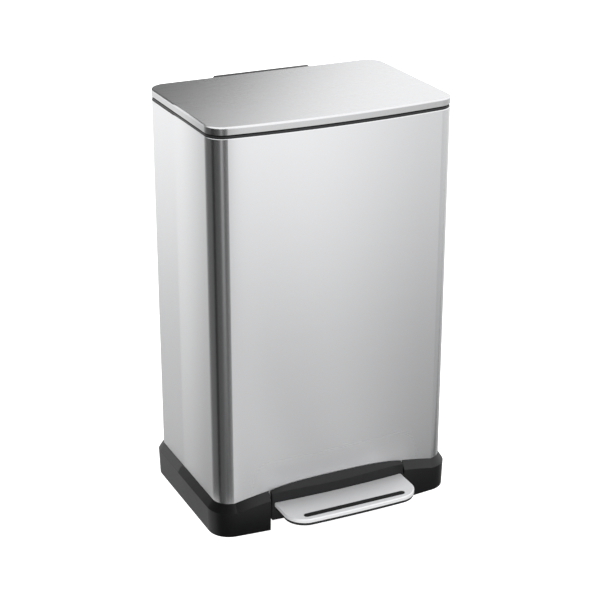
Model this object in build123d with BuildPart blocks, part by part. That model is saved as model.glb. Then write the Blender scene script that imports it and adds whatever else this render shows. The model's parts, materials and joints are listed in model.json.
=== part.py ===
from build123d import *
import os
from math import atan2, cos, degrees, radians, sin, sqrt, tan

os.makedirs("parts", exist_ok=True)

# ---------------------------------------------------------------- driving sizes (mm)
# The body's plan is centred on (0, BODY_Y); every y below is measured from there,
# with the front at -y. Heights are measured from the floor.

# steel body
BODY_W = 400.0          # width
BODY_D = 260.0          # depth, without the bow of the front
BOW = 12.0              # bow of the front at its middle
CORNER_R = 28.0         # plan radius of the corners
SHEET = 0.8             # steel sheet
SHELL_BOTTOM = 46.0     # lower edge, hidden in the plinth
BODY_TOP = 646.0        # folded upper edge
FOLD_R = 1.5            # radius of that fold
FOLD_W = 5.0            # width of the folded flange
NOTCH_HALF = 44.0       # half the width of the notch behind, where the cranks pass
NOTCH_DEPTH = 15.0
CUT = 30.0              # how far a cutting tool reaches past what it cuts

# rim frame
RIM_TOP = 649.5
RIM_OPENING = 9.0       # from the body's outside to the bucket opening
RIM_SKIRT = 2.2
RIM_SKIRT_BOTTOM = 628.0
BUCKET_BACK = 112.0     # y that stands for the back of the bucket opening's plan
CRANK_SLOT_X = 16.0     # middle of the slot for the two cranks
CRANK_SLOT_Y = 124.0
CRANK_SLOT_W = 56.0

# lid
SKIRT_BOTTOM = 651.5
LID_TOP = 663.0
LID_EDGE_R = 2.8
LINER_GAP = 1.0
LINER_BOTTOM = 650.5
LINER_PLATE = 656.5
LINER_WALL = 2.0
LID_SCREWS = ((-62, 72), (62, 72), (-62, 104), (62, 104))
LID_SCREW_HOLE_R = 1.8
LID_BUMPER_R = 2.2

# hinge, seen from the side
HINGE_Y = 139.0
HINGE_Z = 647.0
HINGE_PIN_R = 3.0
RUNNING_FIT = 0.05      # radial play of a pin in a knuckle or hub
KNUCKLE_R = 6.0
COVER_R = 15.0          # outer radius of the cover over the knuckles
COVER_HALF = 80.0       # half its width
COVER_T = 2.0
COVER_FRONT = 130.3     # its front wall stands behind the lid's skirt
COVER_TONGUE_TOP = 655.6
TONGUE_FRONT = 123.6
LID_OPEN = 75.0         # how far the lid opens, degrees
CRANK_R = 20.0          # from the hinge pin to a crank pin
CRANK_PIN_R = 2.5
ROD_Y = 120.0           # the push rod and the damper stand here
DAMPER_X = 30.0
PLATE = 2.0             # steel of the bracket and the mount
KNUCKLE_TOP = HINGE_Z + KNUCKLE_R
BRACKET_HALF = 75.0
LID_KNUCKLES = ((-63.5, 11.0), (52.5, 11.0), (-8.0, 45.0))   # start and length of each
CHEEK_T = 2.5
CHEEK_END_R = 5.0
CRANK_PIN_HALF = 5.0
MOUNT_KNUCKLES = ((-76.0, 12.0), (-52.0, 12.0), (40.0, 12.0), (64.0, 12.0))
MOUNT_HALF = 76.0
MOUNT_BOTTOM = 588.0
MOUNT_SHOULDER = 630.5
RIVET_PLACES = ((-70, 600), (-54, 600), (54, 600), (70, 600))
RIVET_R = 2.0
RIVET_HEAD_R = 3.6
HOUSING_SCREWS = ((-62, 612), (62, 612))
HOUSING_SCREW_HOLE_R = 2.2
PIN_HALF = 77.0

# plinth
BASE_BOTTOM = 1.2
BASE_GROW = 7.2         # outside the body, at the floor
BASE_DRAFT = 2.0        # degrees, leaning out upward
BASE_WALL = 2.5
BASE_TOP = 56.0         # upper edge at the corners
ARCH = 21.5             # rise of that edge at the middle of the front
ARCH_HALF = 174.0
BEVEL_W = 8.3
BEVEL_H = 13.0
LEDGE_BOTTOM = 43.0     # the body stands on this ledge
FLOOR_TOP = 61.0        # the bucket stands here
FLOOR_BOTTOM = 58.5
OPENING_HALF = 118.5    # half the width of the pedal opening
SOCKET_GAP = 0.3        # around the body's lower end
TUB_WALL = 2.2
EAR_X = 64.0            # middle of each ear that holds the pivot pin
EAR_T = 5.0
FOOT_PLACES = ((-172, -98), (172, -98), (-172, 104), (172, 104))
FOOT_PAD_H = 6.0
FOOT_PAD_R = 10.0
FOOT_STEM_R = 4.0
FOOT_STEM_H = 12.0
FLOOR_SLOT_W = 32.0      # opening in the floor for the rod's foot
FLOOR_SLOT_D = 22.0
FLOOR_SLOT_Y = 116.0

# pedal
RISER_HALF = 116.0
RISER_GROW = 8.3        # its face lies flush with the plinth's widest part
RISER_BOTTOM = 19.0
RISER_TOP = 65.5        # straight front edge of its sloping top
RISER_WALL = 2.5
TREAD_HALF = 112.0
TREAD_FRONT = -218.0
TREAD_TOP = 49.5
TREAD_CORNER_R = 34.0
TREAD_BOW = 2.5
PLATE_T = 1.2
PLATE_EDGE_R = 2.0
PLATE_LIP = 6.2         # height of its turned-down lip
TRAY_BOTTOM = 38.5
SLOT_HALF = 88.0
SLOT_W = 10.0
SLOT_Y = -203.0
PIVOT_Y = -60.0
PIVOT_Z = 26.0
PIVOT_R = 3.0
TIP_R = 5.0
TIP_PIN_R = 2.0

RISER_GAP = 1.0         # between the riser's top and the steel body
TREAD_BACK = -140.0     # the tread's plan reaches back inside the riser
ARM_X = 40.0            # inner face of each arm
ARM_T = 8.0
ARM_TOP = 39.5
ARM_FRONT = -150.0
ARM_HUB_R = 8.0
LEVER_TOP = 34.8
LEVER_T = 3.0
LEVER_HALF = 10.0
LEVER_FRONT = -140.0
LEVER_BACK = 112.0
FORK_IN = 6.5
PEDAL_SCREWS = ((0, -132), (0, -112))
PEDAL_SCREW_R = 1.98
PIVOT_HALF = 70.0
STOP_Y = -139.0
REST_GAP = 0.3          # at rest, between a stop and what it stops

# push rod and damper
ROD_R = 3.0
ROD_BOTTOM = 36.0
FOOT_BOTTOM = 31.3
EYE_T = 3.0
EYE_FRONT = 112.5
EYE_BACK = 128.4
EYE_BOTTOM = 604.0
EYE_TOP = 641.0
GUIDE_FRONT = 111.0
GUIDE_HEIGHTS = (112, 560)
GUIDE_H = 14.0
ROD_IN_EYE = 12.0       # how far a rod stands in its eye
DAMPER_BOTTOM = 496.0
DAMPER_TOP = 592.0
DAMPER_R = 8.0
DAMPER_WALL = 2.0
DAMPER_END = 4.0        # closed ends of the cylinder
DAMPER_ROD_R = 2.0
PISTON_BOTTOM = 510.0
CHANNEL_LEFT = -18.0
CHANNEL_RIGHT = 48.0
CHANNEL_FRONT = 104.0
CHANNEL_TOP = 625.0
CHANNEL_WALL = 1.6

# bucket
BUCKET_BOTTOM = 61.3
BUCKET_TOP = 640.0
BUCKET_GROW = -14.0     # plan at the floor, inside the body's
BUCKET_DRAFT = 0.2
BUCKET_WALL = 2.0
BUCKET_LIP = 1.6
BUCKET_LIP_H = 4.0
FINGER_SLOT = (104.0, 28.0)
FINGER_SLOT_Y = -10.0
FINGER_SLOT_DROP = 26.0 # its middle below the bucket's top

# rear housing
HOUSING_HALF = 80.0
HOUSING_BOTTOM = 552.0
HOUSING_TOP = 630.0
HOUSING_WALL = 2.5
HOUSING_BOSS_R = 5.0

# ---------------------------------------------------------------- worked-out sizes
REAR = HINGE_Y + COVER_R
BODY_Y = -(TREAD_FRONT + REAR) / 2          # puts the origin under the middle of the object
BOW_R = ((BODY_W / 2) ** 2 + BOW ** 2) / (2 * BOW)
BOW_CENTRE = BOW_R - BOW - BODY_D / 2
CRANK_REST_Y = HINGE_Y - CRANK_R * cos(radians(LID_OPEN / 2))
CRANK_REST_Z = HINGE_Z - CRANK_R * sin(radians(LID_OPEN / 2))

PLAN = Plane((0, BODY_Y, 0))


def side(x: float) -> Plane:
    """Plane across the body at x: its own x is y, its own y is height."""
    return Plane(origin=(x, BODY_Y, 0), x_dir=(0, 1, 0), z_dir=(1, 0, 0))


def facing(y: float) -> Plane:
    """Plane parallel to the front, facing forward, at depth y."""
    return Plane(origin=(0, BODY_Y + y, 0), x_dir=(1, 0, 0), z_dir=(0, -1, 0))


def front_y(x: float, grow: float = 0.0) -> float:
    """Depth of the bowed front at x, with the plan grown outward."""
    return BOW_CENTRE - sqrt((BOW_R + grow) ** 2 - x ** 2)


def plan(grow: float, back: float = BODY_D / 2) -> Sketch:
    """The body's plan, grown outward by the same amount all round."""
    half = BODY_W / 2 + grow
    rear = back + grow
    corner = front_y(half, grow)
    with BuildSketch() as outline:
        with BuildLine():
            ThreePointArc((-half, corner), (0, front_y(0, grow)), (half, corner))
            Polyline((half, corner), (half, rear), (-half, rear), (-half, corner))
        make_face()
        fillet(outline.vertices(), CORNER_R + grow)
    return outline.sketch


def arch_face(half: float, low: float, rise: float, top: float) -> Sketch:
    """Area above an arch, for cutting the upper edge of the plinth and the riser."""
    with BuildSketch() as face:
        with BuildLine():
            ThreePointArc((-half, low), (0, low + rise), (half, low))
            Polyline((half, low), (half, top), (-half, top), (-half, low))
        make_face()
    return face.sketch


def save(builder: BuildPart, name: str) -> None:
    """Label the finished piece and write its STEP file."""
    builder.part.label = name
    export_step(builder.part, f"parts/{name}.step")


# ---------------------------------------------------------------- body
def make_body_shell() -> None:
    """Steel wrap with its upper edge folded inward, notched behind for the cranks."""
    outside = plan(0)
    inside = plan(-SHEET)
    mouth = plan(-FOLD_W)
    with BuildPart() as body_shell:
        with BuildSketch(PLAN.offset(SHELL_BOTTOM)):
            add(outside)
        extrude(amount=BODY_TOP - SHELL_BOTTOM)
        fillet(body_shell.faces().sort_by(Axis.Z)[-1].edges(), FOLD_R)
        with BuildSketch(PLAN.offset(SHELL_BOTTOM)):
            add(inside)
        extrude(amount=BODY_TOP - SHEET - SHELL_BOTTOM, mode=Mode.SUBTRACT)
        with BuildSketch(PLAN.offset(BODY_TOP - 2 * SHEET)):
            add(mouth)
        extrude(amount=3 * SHEET, mode=Mode.SUBTRACT)
        with BuildSketch(facing(BODY_D / 2 + 5)):
            with Locations((0, BODY_TOP)):
                Rectangle(2 * NOTCH_HALF, 2 * NOTCH_DEPTH)
        extrude(amount=CUT, mode=Mode.SUBTRACT)
        with BuildSketch(facing(BODY_D / 2 + 5)):
            with Locations(*HOUSING_SCREWS):
                Circle(HOUSING_SCREW_HOLE_R)
            with Locations(*RIVET_PLACES):
                Circle(RIVET_R)
        extrude(amount=10, mode=Mode.SUBTRACT)
    save(body_shell, "body_shell")


def make_top_rim_frame() -> None:
    """Black frame on the folded edge, with the bucket opening and the crank slot."""
    outside = plan(-1.0)
    skirt = plan(-RIM_OPENING + RIM_SKIRT, BUCKET_BACK)
    opening = plan(-RIM_OPENING, BUCKET_BACK)
    with BuildPart() as top_rim_frame:
        with BuildSketch(PLAN.offset(BODY_TOP)):
            add(outside)
        extrude(amount=RIM_TOP - BODY_TOP)
        fillet(top_rim_frame.faces().sort_by(Axis.Z)[-1].edges(), 0.8)
        with BuildSketch(PLAN.offset(RIM_SKIRT_BOTTOM)):
            add(skirt)
        extrude(amount=BODY_TOP - RIM_SKIRT_BOTTOM)
        with BuildSketch(PLAN.offset(RIM_SKIRT_BOTTOM)):
            add(opening)
        extrude(amount=RIM_TOP - RIM_SKIRT_BOTTOM, mode=Mode.SUBTRACT)
        with BuildSketch(PLAN.offset(BODY_TOP)):
            with Locations((CRANK_SLOT_X, CRANK_SLOT_Y)):
                Rectangle(CRANK_SLOT_W, CUT)
        extrude(amount=10, mode=Mode.SUBTRACT)
    save(top_rim_frame, "top_rim_frame")


def make_base_plinth() -> None:
    """Black plinth: flared skirt, arched bevelled edge, ledge, floor, ears and bosses."""
    foot = plan(BASE_GROW)
    crease = plan(BASE_GROW + (LEDGE_BOTTOM - BASE_BOTTOM) * tan(radians(BASE_DRAFT)))
    hollow = plan(BASE_GROW - BASE_WALL)
    socket = plan(SOCKET_GAP)
    tub = plan(-SHEET - SOCKET_GAP)
    tub_inside = plan(-SHEET - SOCKET_GAP - TUB_WALL)
    arch_end = front_y(ARCH_HALF, SOCKET_GAP)
    bow_lift = (arch_end - front_y(0, SOCKET_GAP)) * BEVEL_H / BEVEL_W
    above_arch = arch_face(ARCH_HALF, BASE_TOP, ARCH + bow_lift, 200)

    # the raised middle of the front, its top sheared so that the bevel follows the bow
    with BuildPart() as front_arch:
        with BuildSketch(PLAN.offset(BASE_BOTTOM)):
            add(foot)
        extrude(amount=100, taper=-BASE_DRAFT)
        with BuildSketch(PLAN.offset(LEDGE_BOTTOM)):
            with Locations((0, -150)):
                Rectangle(2 * ARCH_HALF, 80)
        extrude(amount=100, mode=Mode.INTERSECT)
        with BuildSketch(facing(arch_end)):
            add(above_arch)
        extrude(amount=60, dir=(0, -BEVEL_W, -BEVEL_H), mode=Mode.SUBTRACT)

    with BuildPart() as base_plinth:
        with BuildSketch(PLAN.offset(BASE_BOTTOM)):
            add(foot)
        extrude(amount=LEDGE_BOTTOM - BASE_BOTTOM, taper=-BASE_DRAFT)
        with BuildSketch(PLAN.offset(LEDGE_BOTTOM)):
            add(crease)
        extrude(amount=BASE_TOP - LEDGE_BOTTOM, taper=degrees(atan2(BEVEL_W, BEVEL_H)))
        add(front_arch.part)

        # seat of the steel body, and the hollow under the ledge
        with BuildSketch(PLAN.offset(SHELL_BOTTOM)):
            add(socket)
        extrude(amount=100, mode=Mode.SUBTRACT)
        with BuildSketch(PLAN.offset(LEDGE_BOTTOM)):
            add(tub_inside)
        extrude(amount=10, mode=Mode.SUBTRACT)
        with BuildSketch(PLAN.offset(BASE_BOTTOM)):
            add(hollow)
        extrude(amount=LEDGE_BOTTOM - BASE_BOTTOM, taper=-BASE_DRAFT, mode=Mode.SUBTRACT)

        # opening for the pedal, with a return wall at each end
        with BuildSketch(PLAN):
            with Locations((0, -150)):
                Rectangle(2 * OPENING_HALF, 60)
            add(socket, mode=Mode.SUBTRACT)
        extrude(amount=150, mode=Mode.SUBTRACT)
        with BuildSketch(PLAN.offset(BASE_BOTTOM)):
            return_x = OPENING_HALF + BASE_WALL / 2
            with Locations((-return_x, -125), (return_x, -125)):
                Rectangle(BASE_WALL, 40)
        extrude(amount=LEDGE_BOTTOM + 1 - BASE_BOTTOM)

        # wall and floor that carry the bucket
        with BuildSketch(PLAN.offset(LEDGE_BOTTOM)):
            add(tub)
            add(tub_inside, mode=Mode.SUBTRACT)
        extrude(amount=FLOOR_TOP - LEDGE_BOTTOM)
        with BuildSketch(PLAN.offset(FLOOR_BOTTOM)):
            add(tub_inside)
            with Locations((0, FLOOR_SLOT_Y)):
                Rectangle(FLOOR_SLOT_W, FLOOR_SLOT_D, mode=Mode.SUBTRACT)
        extrude(amount=FLOOR_TOP - FLOOR_BOTTOM)

        # ears for the pedal's pivot pin
        with BuildSketch(side(EAR_X - EAR_T / 2)):
            with Locations((PIVOT_Y, (FLOOR_BOTTOM + PIVOT_Z) / 2)):
                Rectangle(20, FLOOR_BOTTOM - PIVOT_Z)
            with Locations((PIVOT_Y, PIVOT_Z)):
                Circle(10)
                Circle(PIVOT_R + RUNNING_FIT, mode=Mode.SUBTRACT)
        ear = extrude(amount=EAR_T)
        mirror(ear, about=Plane.YZ)

        # bosses for the feet
        with BuildSketch(PLAN.offset(FOOT_PAD_H)):
            with Locations(*FOOT_PLACES):
                Circle(FOOT_PAD_R + 1)
                Circle(FOOT_STEM_R + 0.1, mode=Mode.SUBTRACT)
        extrude(amount=FLOOR_BOTTOM - FOOT_PAD_H)
    save(base_plinth, "base_plinth")


def make_rubber_feet() -> None:
    """Four pads with stems pressed into the plinth's bosses."""
    with BuildPart() as rubber_feet:
        with BuildSketch(PLAN):
            with Locations(*FOOT_PLACES):
                Circle(FOOT_PAD_R)
        extrude(amount=FOOT_PAD_H)
        with BuildSketch(PLAN.offset(FOOT_PAD_H)):
            with Locations(*FOOT_PLACES):
                Circle(FOOT_STEM_R)
        extrude(amount=FOOT_STEM_H)
    save(rubber_feet, "rubber_feet")


def make_inner_bucket() -> None:
    """Lift-out bucket with a lip and two finger slots near its top."""
    outside = plan(BUCKET_GROW, BUCKET_BACK + 1)
    inside = plan(BUCKET_GROW - BUCKET_WALL, BUCKET_BACK + 1)
    top_grow = BUCKET_GROW + (BUCKET_TOP - BUCKET_BOTTOM) * tan(radians(BUCKET_DRAFT))
    lip = plan(top_grow + BUCKET_LIP, BUCKET_BACK + 1)
    with BuildPart() as inner_bucket:
        with BuildSketch(PLAN.offset(BUCKET_BOTTOM)):
            add(outside)
        extrude(amount=BUCKET_TOP - BUCKET_BOTTOM, taper=-BUCKET_DRAFT)
        with BuildSketch(PLAN.offset(BUCKET_TOP - BUCKET_LIP_H)):
            add(lip)
        extrude(amount=BUCKET_LIP_H)
        with BuildSketch(PLAN.offset(BUCKET_BOTTOM + BUCKET_WALL)):
            add(inside)
        extrude(amount=BUCKET_TOP - BUCKET_BOTTOM, taper=-BUCKET_DRAFT, mode=Mode.SUBTRACT)
        fillet(inner_bucket.faces().sort_by(Axis.Z)[0].edges(), 4)
        with BuildSketch(side(-BODY_W / 2)):
            with Locations((FINGER_SLOT_Y, BUCKET_TOP - FINGER_SLOT_DROP)):
                RectangleRounded(*FINGER_SLOT, 12)
        extrude(amount=BODY_W, mode=Mode.SUBTRACT)
    save(inner_bucket, "inner_bucket")


# ---------------------------------------------------------------- lid
def make_lid_cover() -> None:
    """Steel pan with a straight skirt, cut away behind for the hinge."""
    outside = plan(0)
    inside = plan(-SHEET)
    with BuildPart() as hollow:
        with BuildSketch(PLAN.offset(SKIRT_BOTTOM)):
            add(inside)
        extrude(amount=LID_TOP - SHEET - SKIRT_BOTTOM)
        fillet(hollow.faces().sort_by(Axis.Z)[-1].edges(), LID_EDGE_R - SHEET)
    with BuildPart() as lid_cover:
        with BuildSketch(PLAN.offset(SKIRT_BOTTOM)):
            add(outside)
        extrude(amount=LID_TOP - SKIRT_BOTTOM)
        fillet(lid_cover.faces().sort_by(Axis.Z)[-1].edges(), LID_EDGE_R)
        add(hollow.part, mode=Mode.SUBTRACT)
        with BuildSketch(facing(BODY_D / 2 + 5)):
            with Locations((0, SKIRT_BOTTOM)):
                Rectangle(2 * COVER_HALF + 1, 2 * (COVER_TONGUE_TOP + 0.5 - SKIRT_BOTTOM))
        extrude(amount=10, mode=Mode.SUBTRACT)
    save(lid_cover, "lid_cover")


def make_lid_liner() -> None:
    """Black liner under the pan, open behind for the lid bracket."""
    outside = plan(-LINER_GAP)
    inside = plan(-LINER_GAP - LINER_WALL)
    with BuildPart() as lid_liner:
        with BuildSketch(PLAN.offset(LINER_BOTTOM)):
            add(outside)
        extrude(amount=LINER_PLATE + LINER_WALL - LINER_BOTTOM)
        with BuildSketch(PLAN.offset(LINER_BOTTOM)):
            add(inside)
        extrude(amount=LINER_PLATE - LINER_BOTTOM, mode=Mode.SUBTRACT)
        with BuildSketch(facing(BODY_D / 2 + 5)):
            with Locations((0, LINER_BOTTOM)):
                Rectangle(2 * COVER_HALF + 1, 2 * (LINER_PLATE - LINER_BOTTOM))
        extrude(amount=10, mode=Mode.SUBTRACT)
        with BuildSketch(PLAN.offset(LINER_PLATE)):
            with Locations(*LID_SCREWS):
                Circle(LID_SCREW_HOLE_R)
        extrude(amount=10, mode=Mode.SUBTRACT)
    save(lid_liner, "lid_liner")


def make_hinge_cover() -> None:
    """Black cover over the knuckles, closed at both ends, with a tongue under the lid."""
    with BuildPart() as hinge_cover:
        with BuildSketch(side(-COVER_HALF)):
            with Locations((HINGE_Y, HINGE_Z)):
                Circle(COVER_R)
            with Locations((HINGE_Y - COVER_R / 2, HINGE_Z)):
                Rectangle(COVER_R, 2 * COVER_R, mode=Mode.SUBTRACT)
            with Locations((HINGE_Y, HINGE_Z - COVER_R / 2)):
                Rectangle(2 * COVER_R, COVER_R, mode=Mode.SUBTRACT)
            front_middle = (COVER_FRONT + HINGE_Y) / 2
            with Locations((front_middle, (COVER_TONGUE_TOP + HINGE_Z + COVER_R) / 2)):
                Rectangle(HINGE_Y - COVER_FRONT, HINGE_Z + COVER_R - COVER_TONGUE_TOP)
        extrude(amount=2 * COVER_HALF)
        with BuildSketch(side(-COVER_HALF + COVER_T)):
            with Locations((HINGE_Y, HINGE_Z)):
                Circle(COVER_R - COVER_T)
            with Locations((HINGE_Y - 20, HINGE_Z - 20 + COVER_R - COVER_T)):
                Rectangle(2 * (20 - HINGE_Y + COVER_FRONT + COVER_T), 40)
        extrude(amount=2 * (COVER_HALF - COVER_T), mode=Mode.SUBTRACT)
        with BuildSketch(side(-COVER_HALF + COVER_T)):
            with Locations(((COVER_FRONT + COVER_T + HINGE_Y) / 2, HINGE_Z + COVER_R - COVER_T - 5)):
                Rectangle(HINGE_Y - COVER_FRONT - COVER_T, 10)
        extrude(amount=2 * (COVER_HALF - COVER_T), mode=Mode.SUBTRACT)
        with BuildSketch(side(-COVER_HALF)):
            with Locations(((TONGUE_FRONT + COVER_FRONT + COVER_T) / 2, COVER_TONGUE_TOP - 1.1)):
                Rectangle(COVER_FRONT + COVER_T - TONGUE_FRONT, 2.2)
        extrude(amount=2 * COVER_HALF)
    save(hinge_cover, "hinge_cover")


def make_lid_bracket() -> None:
    """Steel plate under the liner, with knuckles and two forked cranks."""
    shelf = LINER_PLATE
    with BuildPart() as lid_bracket:
        with BuildSketch(side(-BRACKET_HALF)):
            with BuildLine():
                Polyline(
                    (60, shelf - PLATE), (117, shelf - PLATE), (121, KNUCKLE_TOP - PLATE),
                    (128, KNUCKLE_TOP - PLATE), (128, KNUCKLE_TOP), (122, KNUCKLE_TOP),
                    (118, shelf), (60, shelf), close=True,
                )
            make_face()
        extrude(amount=2 * BRACKET_HALF)
        for start, length in LID_KNUCKLES:
            with BuildSketch(side(start)):
                with Locations((HINGE_Y - 6, KNUCKLE_TOP - PLATE / 2)):
                    Rectangle(12, PLATE)
                with Locations((HINGE_Y, HINGE_Z)):
                    Circle(KNUCKLE_R)
            extrude(amount=length)
        for middle in (0, DAMPER_X):
            for edge in (EYE_T / 2 + 1, -EYE_T / 2 - 1 - CHEEK_T):
                with BuildSketch(side(middle + edge)) as cheek:
                    with Locations((HINGE_Y, HINGE_Z)):
                        Circle(KNUCKLE_R)
                    with Locations((CRANK_REST_Y, CRANK_REST_Z)):
                        Circle(CHEEK_END_R)
                    make_hull()
                    with Locations((CRANK_REST_Y, CRANK_REST_Z)):
                        Circle(CRANK_PIN_R, mode=Mode.SUBTRACT)
                extrude(amount=CHEEK_T)
        with BuildSketch(side(-BRACKET_HALF)):
            with Locations((HINGE_Y, HINGE_Z)):
                Circle(HINGE_PIN_R + RUNNING_FIT)
        extrude(amount=2 * BRACKET_HALF, mode=Mode.SUBTRACT)
        with BuildSketch(PLAN.offset(shelf - PLATE)):
            with Locations(*LID_SCREWS):
                Circle(LID_SCREW_HOLE_R)
        extrude(amount=PLATE, mode=Mode.SUBTRACT)
    save(lid_bracket, "lid_bracket")


def make_crank_pins() -> None:
    """One pin through each forked crank."""
    with BuildPart() as crank_pins:
        for middle in (0, DAMPER_X):
            with BuildSketch(side(middle - CRANK_PIN_HALF)):
                with Locations((CRANK_REST_Y, CRANK_REST_Z)):
                    Circle(CRANK_PIN_R)
            extrude(amount=2 * CRANK_PIN_HALF)
    save(crank_pins, "crank_pins")


def make_lid_screws() -> None:
    """Four screws that hold the bracket to the liner."""
    with BuildPart() as lid_screws:
        with BuildSketch(PLAN.offset(LINER_PLATE - PLATE - 1.8)):
            with Locations(*LID_SCREWS):
                Circle(3.5)
        extrude(amount=1.8)
        with BuildSketch(PLAN.offset(LINER_PLATE - PLATE)):
            with Locations(*LID_SCREWS):
                Circle(1.75)
        extrude(amount=5)
    save(lid_screws, "lid_screws")


def make_lid_bumpers() -> None:
    """Rubber bumpers that meet the rim frame."""
    inset = -RIM_OPENING / 2 - 1.2
    corner_x = BODY_W / 2 - 60
    places = [(x, front_y(x, inset)) for x in (-corner_x, corner_x)]
    places += [(x, BODY_D / 2 + inset) for x in (-corner_x, corner_x)]
    with BuildPart() as lid_bumpers:
        with BuildSketch(PLAN.offset(RIM_TOP + REST_GAP)):
            with Locations(*places):
                Circle(LID_BUMPER_R)
        extrude(amount=LINER_PLATE - RIM_TOP - REST_GAP)
    save(lid_bumpers, "lid_bumpers")


# ---------------------------------------------------------------- hinge on the body
def make_hinge_mount() -> None:
    """Steel plate riveted to the back, joggled outward to its knuckles."""
    back = BODY_D / 2 + 0.2
    stem = HINGE_Y - KNUCKLE_R
    with BuildPart() as hinge_mount:
        with BuildSketch(facing(back + PLATE)):
            with Locations((0, (MOUNT_BOTTOM + MOUNT_SHOULDER) / 2)):
                RectangleRounded(2 * MOUNT_HALF, MOUNT_SHOULDER - MOUNT_BOTTOM, 3)
        extrude(amount=PLATE)
        for start, length in MOUNT_KNUCKLES:
            with BuildSketch(side(start)):
                with BuildLine():
                    Polyline(
                        (back, MOUNT_SHOULDER - 4), (back + PLATE, MOUNT_SHOULDER - 4),
                        (back + PLATE, MOUNT_SHOULDER - 1), (stem + PLATE, MOUNT_SHOULDER + 5),
                        (stem + PLATE, HINGE_Z), (stem, HINGE_Z),
                        (stem, MOUNT_SHOULDER + 6), (back, MOUNT_SHOULDER), close=True,
                    )
                make_face()
                with Locations((HINGE_Y, HINGE_Z)):
                    Circle(KNUCKLE_R)
                    Circle(HINGE_PIN_R + RUNNING_FIT, mode=Mode.SUBTRACT)
            extrude(amount=length)
        with BuildSketch(facing(back + PLATE)):
            with Locations(*RIVET_PLACES):
                Circle(RIVET_R)
            with Locations(*HOUSING_SCREWS):
                Circle(HOUSING_SCREW_HOLE_R)
        extrude(amount=PLATE, mode=Mode.SUBTRACT)
    save(hinge_mount, "hinge_mount")


def make_hinge_pin() -> None:
    """Long pin through all knuckles and cranks."""
    with BuildPart() as hinge_pin:
        with BuildSketch(side(-PIN_HALF)):
            with Locations((HINGE_Y, HINGE_Z)):
                Circle(HINGE_PIN_R)
        extrude(amount=2 * PIN_HALF)
        chamfer(hinge_pin.edges(), 0.5)
    save(hinge_pin, "hinge_pin")


def make_mount_rivets() -> None:
    """Rivets through the body and the mount plate."""
    inner = BODY_D / 2 - SHEET
    with BuildPart() as mount_rivets:
        with BuildSketch(facing(inner)):
            with Locations(*RIVET_PLACES):
                Circle(RIVET_HEAD_R)
        extrude(amount=1.2)
        with BuildSketch(facing(inner + SHEET + 0.2 + PLATE)):
            with Locations(*RIVET_PLACES):
                Circle(RIVET_R)
        extrude(amount=SHEET + 0.2 + PLATE)
        with BuildSketch(facing(inner + SHEET + 0.2 + PLATE + 1.4)):
            with Locations(*RIVET_PLACES):
                Circle(RIVET_HEAD_R)
        extrude(amount=1.4)
    save(mount_rivets, "mount_rivets")


def make_rear_housing() -> None:
    """Black housing over the mount, open below as a grip for the fingers."""
    wall = HOUSING_WALL
    height = HOUSING_TOP - HOUSING_BOTTOM
    middle = (HOUSING_TOP + HOUSING_BOTTOM) / 2
    with BuildPart() as rear_housing:
        with BuildSketch(facing(REAR)):
            with Locations((0, middle)):
                RectangleRounded(2 * HOUSING_HALF, height, 10)
        extrude(amount=REAR - BODY_D / 2 - 0.2)
        fillet(rear_housing.faces().sort_by(Axis.Y)[-1].edges(), 5)
        with BuildSketch(facing(REAR - wall)):
            with Locations((0, middle - wall)):
                Rectangle(2 * (HOUSING_HALF - wall), height)
        extrude(amount=REAR - wall - BODY_D / 2, mode=Mode.SUBTRACT)
        with BuildSketch(facing(BODY_D / 2 + 2.7)):
            with Locations((0, HOUSING_TOP)):
                Rectangle(2 * MOUNT_HALF + 1, 10)
        extrude(amount=5, mode=Mode.SUBTRACT)
        with BuildSketch(facing(REAR - wall)):
            with Locations(*HOUSING_SCREWS):
                Circle(HOUSING_BOSS_R)
        extrude(amount=REAR - wall - BODY_D / 2 - 0.2 - PLATE)
        with BuildSketch(facing(REAR - wall - 2)):
            with Locations(*HOUSING_SCREWS):
                Circle(HOUSING_SCREW_HOLE_R - 0.2)
        extrude(amount=CUT, mode=Mode.SUBTRACT)
    save(rear_housing, "rear_housing")


def make_housing_screws() -> None:
    """Screws from inside the body into the housing's bosses."""
    inner = BODY_D / 2 - SHEET
    with BuildPart() as housing_screws:
        with BuildSketch(facing(inner)):
            with Locations(*HOUSING_SCREWS):
                Circle(4)
        extrude(amount=2.2)
        with BuildSketch(facing(inner + 14)):
            with Locations(*HOUSING_SCREWS):
                Circle(1.95)
        extrude(amount=14)
    save(housing_screws, "housing_screws")


# ---------------------------------------------------------------- mechanism at the back
def make_push_rod() -> None:
    """Steel rod from the lever's end up to the crank."""
    with BuildPart() as push_rod:
        with BuildSketch(PLAN.offset(ROD_BOTTOM)):
            with Locations((0, ROD_Y)):
                Circle(ROD_R)
        extrude(amount=EYE_BOTTOM + ROD_IN_EYE - ROD_BOTTOM)
    save(push_rod, "push_rod")


def make_rod_foot() -> None:
    """Nylon foot that the lever's nose lifts."""
    with BuildPart() as rod_foot:
        with BuildSketch(PLAN.offset(FOOT_BOTTOM)):
            with Locations((0, ROD_Y - 1)):
                RectangleRounded(10, 13, 1.5)
        extrude(amount=11)
        with BuildSketch(PLAN.offset(ROD_BOTTOM)):
            with Locations((0, ROD_Y)):
                Circle(ROD_R)
        extrude(amount=20, mode=Mode.SUBTRACT)
    save(rod_foot, "rod_foot")


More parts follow.
